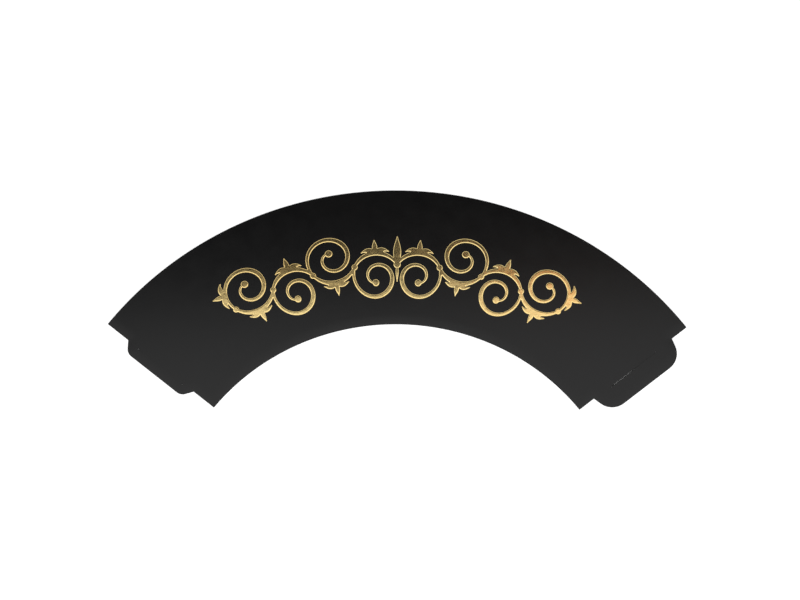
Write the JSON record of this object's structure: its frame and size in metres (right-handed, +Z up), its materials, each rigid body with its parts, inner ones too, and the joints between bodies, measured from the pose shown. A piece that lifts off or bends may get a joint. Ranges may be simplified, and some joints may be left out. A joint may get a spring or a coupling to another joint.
{
  "type": "cupcake wrapper",
  "caption": "Flat die-cut wrapper of black card that rolls into a tapered sleeve round a cupcake, with a locking tab and slit at each end and a gold foil scroll.",
  "frame": {"origin": "on the underside of the card, under the middle of the flat sheet's bounding box", "axes": "+Z up out of the printed face, +Y from the short foot edge towards the long rim edge, +X along the sheet towards the wider tab"},
  "size_m": [0.213, 0.0822, 0.0004],
  "materials": {
    "card": "matte, dyed black through, with a faint fibre grain",
    "foil": "glossy hot-stamped gold foil"
  },
  "bodies": {
    "root": {"card_blank": "card", "foil_scroll": "foil"}
  },
  "joints": []
}
